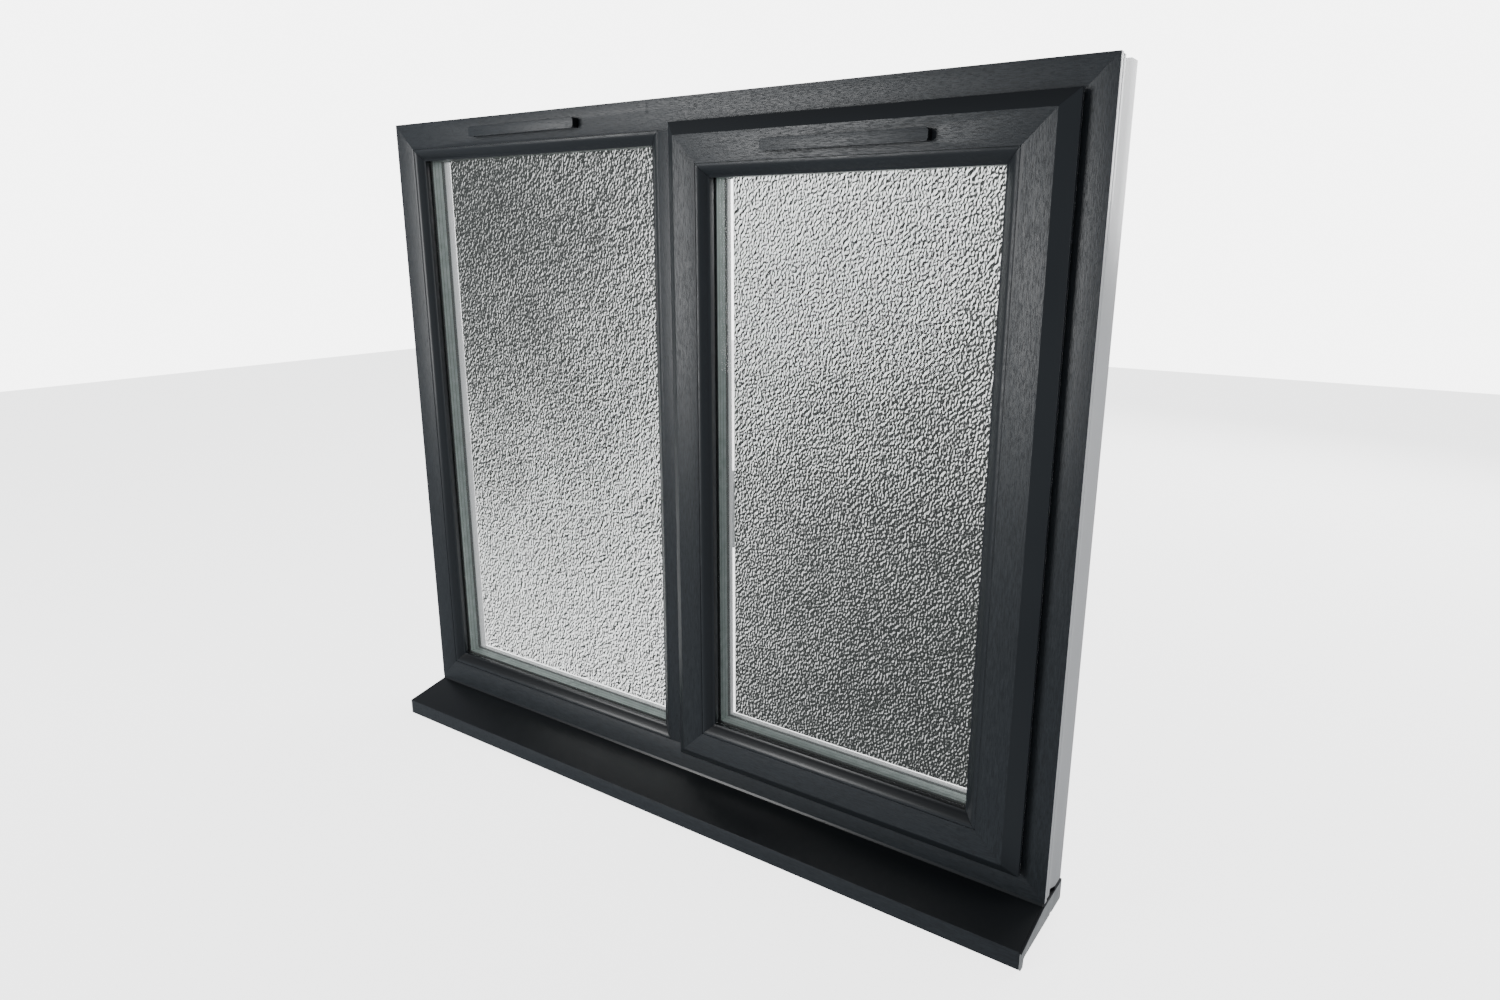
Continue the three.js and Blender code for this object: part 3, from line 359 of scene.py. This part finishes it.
def spacer_bar_grey(node):
    """Aluminium spacer: a rolled bar with two pressed lines, and butyl along its weather edge."""
    finish = Finish(node, Metallic=0.4)
    low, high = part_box(node)
    place = finish.place()
    tone = finish.noise(place, 70.0, 3.0)
    middle = (low.y + high.y) / 2
    aside = abs(finish.part(place, "Y") - middle)
    butyl = finish.part(place, "Y") < low.y + BUTYL_LINE
    pressed = abs(aside - PRESSED_LINE) < 0.5 * MM
    bar = finish.ramp(tone, (0.3, (0.20, 0.25, 0.23)), (0.7, (0.29, 0.34, 0.32)))
    lined = finish.blend(pressed * 0.7, bar, (0.05, 0.07, 0.065))
    finish.set("Base Color", finish.blend(butyl, lined, (0.012, 0.014, 0.014)))
    finish.set("Roughness", 0.35 + 0.2 * tone + 0.25 * butyl)
    return finish.owner


# ---- Dressing the CAD nodes ----------------------------------------------------------------------
FRAME_MEMBERS = ("frame_head", "frame_bottom", "frame_jamb_left", "frame_jamb_right", "mullion")
LENGTHWAYS = ("head", "bottom", "top", "rail", "cill", "canopy")  # words of pieces that run along X
CILL_NOSE_TOP = 13.6 * MM
CILL_SLOPE_TOP = 29.7 * MM
SAME_POINT = 0.01 * MM
ARRIS_ANGLE = math.radians(35.0)
SHARP_ANGLE = math.radians(32.0)


def soft_shading():
    """Node group that shades curved runs of facets as one surface and keeps real arrises sharp."""
    group = bpy.data.node_groups.new("soft_shading", "GeometryNodeTree")
    for way in ("INPUT", "OUTPUT"):
        group.interface.new_socket("Geometry", in_out=way, socket_type="NodeSocketGeometry")
    add = group.nodes.new
    source, sink = add("NodeGroupInput"), add("NodeGroupOutput")
    angle, compare = add("GeometryNodeInputMeshEdgeAngle"), add("FunctionNodeCompare")
    compare.operation = "GREATER_THAN"
    compare.inputs[1].default_value = SHARP_ANGLE
    smooth, sharp = add("GeometryNodeSetShadeSmooth"), add("GeometryNodeSetShadeSmooth")
    sharp.domain = "EDGE"
    sharp.inputs["Shade Smooth"].default_value = False
    link = group.links.new
    link(source.outputs[0], smooth.inputs[0])
    link(smooth.outputs[0], sharp.inputs[0])
    link(angle.outputs[0], compare.inputs[0])
    link(compare.outputs[0], sharp.inputs["Selection"])
    link(sharp.outputs[0], sink.inputs[0])
    return group


SHADING = soft_shading()


def soften(node, width):
    """Rounds a node's arrises, as an extruded or moulded piece has them."""
    piece = NODES[node]
    weld = piece.modifiers.new("weld", "WELD")
    weld.merge_threshold = SAME_POINT
    bevel = piece.modifiers.new("arris", "BEVEL")
    bevel.width = width * MM
    bevel.segments = 2
    bevel.limit_method = "ANGLE"
    bevel.angle_limit = ARRIS_ANGLE
    piece.modifiers.new("shading", "NODES").node_group = SHADING


# Width of the arrises, in mm, by the last word of a node's name; pieces that meet end to end are
# crisp.
CRISP = 0.12
ARRIS = {word: CRISP for word in ("rail", "stile", "head", "bottom", "left", "right")}
ARRIS.update(top=0.3, canopy=1.3)
OTHER_ARRIS = 0.4
BARE = ("pane", "spacer", "reinforcement")  # words in the names of the pieces left unsoftened


def by_axis(name, back):
    """A foiled finish for the bars that run along X and one for those that run along Z."""
    return {axis: foiled(name + axis.lower(), axis, back) for axis in "XZ"}


def make_finishes():
    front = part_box("cill")[0].y
    fixed, sash = "fixed_patterned_pane", "sash_patterned_pane"
    wire_grain, plate_grain = (20.0, 20.0, 20.0), (30.0, 30.0, 30.0)
    return {
        # the canopy's foil has full painted shade on its rounded edges and side faces
        "canopy": foiled("canopy_foil", "X", FOIL_ALL_ROUND, 1.0),
        "frame": by_axis("frame_foil_", FRAME_FOIL_BACK),
        "sash": by_axis("sash_foil_", SASH_FOIL_BACK),
        "bead": by_axis("bead_foil_", FOIL_ALL_ROUND),
        "white": plain_white("white_upvc"),
        "rubber": rubber_black("black_rubber"),
        "galvanised": brushed("galvanised", (0.34, 0.36, 0.37), (0.52, 0.54, 0.55), 0.4, wire_grain),
        "stainless": brushed("stainless", (0.42, 0.43, 0.44), (0.62, 0.63, 0.64), 0.22),
        "zinc": brushed("zinc_plate", (0.48, 0.48, 0.46), (0.68, 0.68, 0.65), 0.28, plate_grain),
        "fixed_spacer_bar": spacer_bar_grey("fixed_spacer_bar"),
        "sash_spacer_bar": spacer_bar_grey("sash_spacer_bar"),
        "clear": clear_glass("clear_glass"),
        # painted gradients: the fixed pane darkens towards its top-left, the sash pane towards its
        # bottom-right
        fixed: patterned_glass("fixed_obscure", fixed, (0, 1), (0.05, 0.9), (0.0350, 0.0235)),
        sash: patterned_glass("sash_obscure", sash, (1, 0), (0.1, 0.95), (0.0265, 0.0225)),
        "end_cap": end_cap_grey("end_cap", (front, CILL_NOSE_TOP, CILL_SLOPE_TOP)),
    }


def finish_of(name, finishes):
    """The finish of a CAD node, told by the words in its name."""
    axis = "X" if any(word in name for word in LENGTHWAYS) else "Z"
    if name.startswith("cill_end"):
        return finishes["end_cap"]
    if "canopy" in name:
        return finishes["canopy"]
    if "_bead_" in name or name == "cill":
        return finishes["bead"][axis]
    if name in FRAME_MEMBERS:
        return finishes["frame"][axis]
    if name.startswith("sash_") and name.endswith(("rail", "stile")):
        return finishes["sash"][axis]
    if name.endswith(("gasket", "seal")):
        return finishes["rubber"]
    if name.endswith("outer_pane"):
        return finishes["clear"]
    if name.startswith("reinforcement"):
        return finishes["galvanised"]
    if name.startswith("stay"):
        return finishes["stainless"]
    if name.startswith(("espag", "spindle", "keep")) or name == "handle_lock_button":
        return finishes["zinc"]
    return finishes.get(name, finishes["white"])


def finish_nodes(finishes):
    """Gives every CAD node its finish and rounds its arrises."""
    for name, node in NODES.items():
        node.data.materials.clear()
        node.data.materials.append(finish_of(name, finishes))
        if not any(word in name for word in BARE):
            soften(name, ARRIS.get(name.split("_")[-1], OTHER_ARRIS))


# ---- Welds and screws ----------------------------------------------------------------------------
WELD_GAP = 0.28 * MM
HEAD_RINGS = (0.18, 0.52, 0.58, 0.82, 1.0)
HEAD_HEIGHTS = (0.40, 0.38, 0.36, 0.28, 0.0)  # mm over the surface that the head is sunk into
HEAD_SECTORS = 24
RECESS_FLOOR = 0.08
RECESS_REACH = 0.55
STAY_SCREW = 3.2  # radii of the heads, in mm
LOCK_SCREW = 3.0
GRILLE_SCREW = 1.8
TRACK_PLATE = 2.0 * MM
TRACK_INSET = 13.0 * MM  # from the plate's inner edge to its screws
TRACK_SCREWS = (29.0, 139.0, 249.0)  # mm from the plate's free end
BAR_PLATE = 3.1 * MM
BAR_INSET = 11.0 * MM  # from the bar's outer edge to its screws
BAR_SCREWS = (15.4, 97.4, 187.4)
KEEP_PLATE = 2.0 * MM
KEEP_INSET = 7.0 * MM  # from each end of a keep to its screw
GRILLE_INSET = 4.5 * MM  # from each end of a grille to its screw
GRILLE_DROP = 3.1 * MM  # from the top of a grille to its screws
FACEPLATE_SCREWS = (-404.0, -202.0, -102.0, 102.0, 202.0, 404.0)  # mm from the faceplate's middle


def add_piece(name, mesh, body, material):
    """Links a mesh made here as a piece of the object that rides on a CAD body."""
    mesh.materials.clear()
    mesh.materials.append(material)
    piece = bpy.data.objects.new(name, mesh)
    bpy.context.scene.collection.objects.link(piece)
    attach(piece, body)


def mitre_welds(member, body):
    """Fills the saw gap at a member's two mitred ends, as the weld bead does once it is trimmed."""

    def mitred(face):
        x, y, z = (abs(part) for part in face.normal)
        return abs(x - z) < 0.02 and y < 0.02

    shape = bmesh.new()
    shape.from_mesh(NODES[member].data)
    rest = [face for face in shape.faces if not mitred(face)]
    bmesh.ops.delete(shape, geom=rest, context="FACES")
    bmesh.ops.remove_doubles(shape, verts=shape.verts, dist=SAME_POINT)
    shape.normal_update()
    grown = bmesh.ops.extrude_face_region(shape, geom=shape.faces[:])["geom"]
    outer = [face for face in grown if isinstance(face, bmesh.types.BMFace)]
    moves = {vert: face.normal.copy() for face in outer for vert in face.verts}
    for vert, normal in moves.items():
        vert.co += normal * WELD_GAP
    bmesh.ops.recalc_face_normals(shape, faces=shape.faces)
    mesh = bpy.data.meshes.new(member + "_welds")
    shape.to_mesh(mesh)
    shape.free()
    add_piece(member + "_welds", mesh, body, NODES[member].data.materials[0])


def screw_heads(name, body, normal, radius, material, places):
    """Countersunk heads with a cross recess; places are the points where their middles sit."""
    normal = Vector(normal)
    side = normal.orthogonal().normalized()
    across = normal.cross(side)
    shape = bmesh.new()
    for place in places:
        rings = []
        for share, height in zip(HEAD_RINGS, HEAD_HEIGHTS):
            ring = []
            for sector in range(HEAD_SECTORS):
                turn = 2 * math.pi * sector / HEAD_SECTORS
                in_recess = sector % 6 < 2 and share < RECESS_REACH
                level = RECESS_FLOOR if in_recess else height
                out = (side * math.cos(turn) + across * math.sin(turn)) * radius * share
                ring.append(shape.verts.new(Vector(place) + (out + normal * level) * MM))
            rings.append(ring)
        middle = shape.verts.new(Vector(place) + normal * RECESS_FLOOR * MM)
        for k in range(HEAD_SECTORS):
            after = (k + 1) % HEAD_SECTORS
            shape.faces.new((middle, rings[0][k], rings[0][after]))
            for inner, outer in zip(rings, rings[1:]):
                shape.faces.new((inner[k], outer[k], outer[after], inner[after]))
        shape.faces.new(rings[-1][::-1])
    mesh = bpy.data.meshes.new(name)
    shape.to_mesh(mesh)
    shape.free()
    add_piece(name, mesh, body, material)


def stay_screws(stainless):
    """Screws of both stays: tracks into the frame, bars into the sash; the upper stay is mirrored."""
    ends = (("lower", 1), ("upper", -1))
    for end, up in ends:
        low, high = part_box("stay_track_" + end)
        level = (low.z if up > 0 else high.z) + up * TRACK_PLATE
        places = [(low.x + x * MM, high.y - TRACK_INSET, level) for x in TRACK_SCREWS]
        screw_heads("stay_screws_track_" + end, "frame", (0, 0, up), STAY_SCREW, stainless, places)
    for end, up in ends:
        low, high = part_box("stay_bar_" + end)
        level = (high.z if up > 0 else low.z) - up * BAR_PLATE
        places = [(low.x + x * MM, low.y + BAR_INSET, level) for x in BAR_SCREWS]
        screw_heads("stay_screws_bar_" + end, "sash", (0, 0, -up), STAY_SCREW, stainless, places)


def lock_screws(zinc):
    """Screws of the two keeps and of the espagnolette's faceplate, all on the rod's line."""
    low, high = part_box("espag_faceplate")
    middle = (low + high) / 2
    keeps = []
    for keep in ("keep_lower", "keep_upper"):
        foot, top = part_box(keep)
        levels = (foot.z + KEEP_INSET, top.z - KEEP_INSET)
        keeps += [(foot.x + KEEP_PLATE, middle.y, z) for z in levels]
    screw_heads("keep_screws", "frame", (1, 0, 0), LOCK_SCREW, zinc, keeps)
    places = [(low.x, middle.y, middle.z + z * MM) for z in FACEPLATE_SCREWS]
    screw_heads("faceplate_screws", "sash", (-1, 0, 0), LOCK_SCREW, zinc, places)


def grille_screws(body, zinc):
    low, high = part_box(body + "_vent_grille")
    level = high.z - GRILLE_DROP
    places = [(x, high.y, level) for x in (low.x + GRILLE_INSET, high.x - GRILLE_INSET)]
    screw_heads(body + "_grille_screws", body, (0, 1, 0), GRILLE_SCREW, zinc, places)


def fit_out(zinc, stainless):
    for member in ("frame_head", "frame_bottom"):
        mitre_welds(member, "frame")
    for member in ("sash_top_rail", "sash_bottom_rail"):
        mitre_welds(member, "sash")
    stay_screws(stainless)
    lock_screws(zinc)
    grille_screws("frame", zinc)
    grille_screws("sash", zinc)


# ---- Stage, light and camera ---------------------------------------------------------------------
FLOOR_HALF = 6.0
EYE = (0.8999, -1.0966, 0.8585)
HEADING = math.radians(34.90)
DIP = math.radians(14.98)
LENS = 23.405


def pale_floor():
    low = CAD_BOX[0][2]
    mesh = bpy.data.meshes.new("floor")
    signs = ((-1, -1), (1, -1), (1, 1), (-1, 1))
    corners = [(x * FLOOR_HALF, y * FLOOR_HALF, low) for x, y in signs]
    mesh.from_pydata(corners, [], [(0, 1, 2, 3)])
    floor = bpy.data.objects.new("floor", mesh)
    bpy.context.scene.collection.objects.link(floor)
    white = (1.0, 1.0, 1.0)
    pale = Finish("floor_paint", Roughness=0.9, Emission_Color=white, Emission_Strength=3.0)
    tone = pale.noise(pale.place(), 0.8, 2.0)
    pale.set("Base Color", pale.ramp(tone, (0.3, (0.86, 0.86, 0.86)), (0.7, (0.9, 0.9, 0.9))))
    mesh.materials.append(pale.owner)
    floor.visible_diffuse = False
    floor.visible_glossy = False


def studio_walls():
    """Bright where the camera sees it, and a dim even fill for everything it lights."""
    world = bpy.data.worlds.new("studio")
    bpy.context.scene.world = world
    sky = Finish("studio", owner=world)
    direction = sky.node("ShaderNodeTexCoord", {}, {}, "Generated")
    height = sky.part(direction, "Z")
    studio = sky.ramp(height * 0.5 + 0.5, (0.2, (0.27, 0.285, 0.31)), (0.8, (0.20, 0.21, 0.23)))
    seen = sky.node("ShaderNodeLightPath", {}, {}, "Is Camera Ray")
    background = world.node_tree.nodes["Background"]
    sky.feed(background.inputs["Color"], sky.blend(seen, studio, (6.0, 6.0, 6.0)))
    background.inputs["Strength"].default_value = 1.0


def softbox(name, place, aim, size, power):
    light = bpy.data.lights.new(name, "AREA")
    light.shape = "RECTANGLE"
    light.size, light.size_y = size
    light.energy = power
    lamp = bpy.data.objects.new(name, light)
    bpy.context.scene.collection.objects.link(lamp)
    lamp.location = place
    lamp.rotation_euler = (Vector(aim) - Vector(place)).to_track_quat("-Z", "Y").to_euler()


def lights():
    softbox("key", (-1.2, -2.35, 1.05), (0.0, 0.0, 0.7), (1.2, 1.5), 50.0)
    softbox("side", (3.4, 0.7, 0.8), (0.6, 0.04, 0.5), (1.4, 2.0), 44.0)
    softbox("back", (0.8, 3.2, 2.0), (0.0, 0.0, 0.5), (3.0, 2.0), 110.0)


def camera():
    """Stands in front of the window and to its right, and looks down at about 15 degrees."""
    lens = bpy.data.cameras.new("camera")
    lens.sensor_width = 36.0
    lens.lens = LENS
    eye = bpy.data.objects.new("camera", lens)
    bpy.context.scene.collection.objects.link(eye)
    eye.location = EYE
    level = math.cos(DIP)
    forward = Vector((-math.sin(HEADING) * level, math.cos(HEADING) * level, -math.sin(DIP)))
    eye.rotation_euler = forward.to_track_quat("-Z", "Y").to_euler()
    bpy.context.scene.camera = eye


camera()
finishes = make_finishes()
finish_nodes(finishes)
fit_out(finishes["zinc"], finishes["stainless"])
pale_floor()
studio_walls()
lights()
